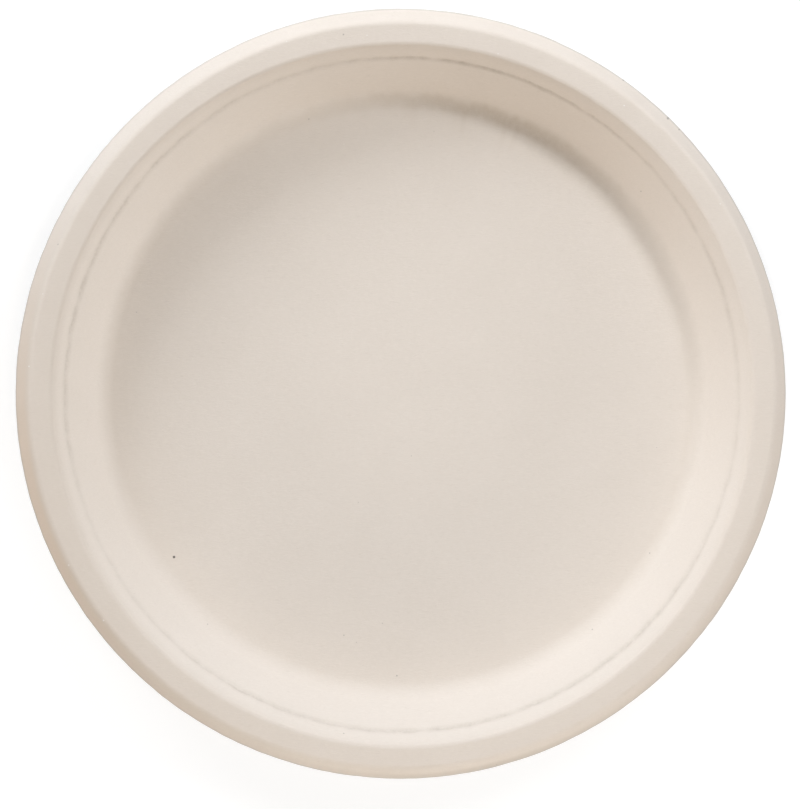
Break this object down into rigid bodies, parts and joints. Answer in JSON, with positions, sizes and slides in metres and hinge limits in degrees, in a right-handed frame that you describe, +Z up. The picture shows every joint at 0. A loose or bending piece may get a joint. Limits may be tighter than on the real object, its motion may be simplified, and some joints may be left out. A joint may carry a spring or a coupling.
{
  "type": "paper plate",
  "caption": "Round shallow dinner plate pressed in one piece from plant-fibre pulp: flat floor, sloped wall, flat rim band and a turned-down lip.",
  "frame": {"origin": "centre of the flat underside, on the surface that the plate rests on", "axes": "+Z up along the plate's axis, out of the eating side; X and Y run across the plate and are alike"},
  "size_m": [0.228, 0.228, 0.02],
  "materials": {
    "pulp": "matte"
  },
  "bodies": {
    "root": {"plate": "pulp"}
  },
  "joints": []
}
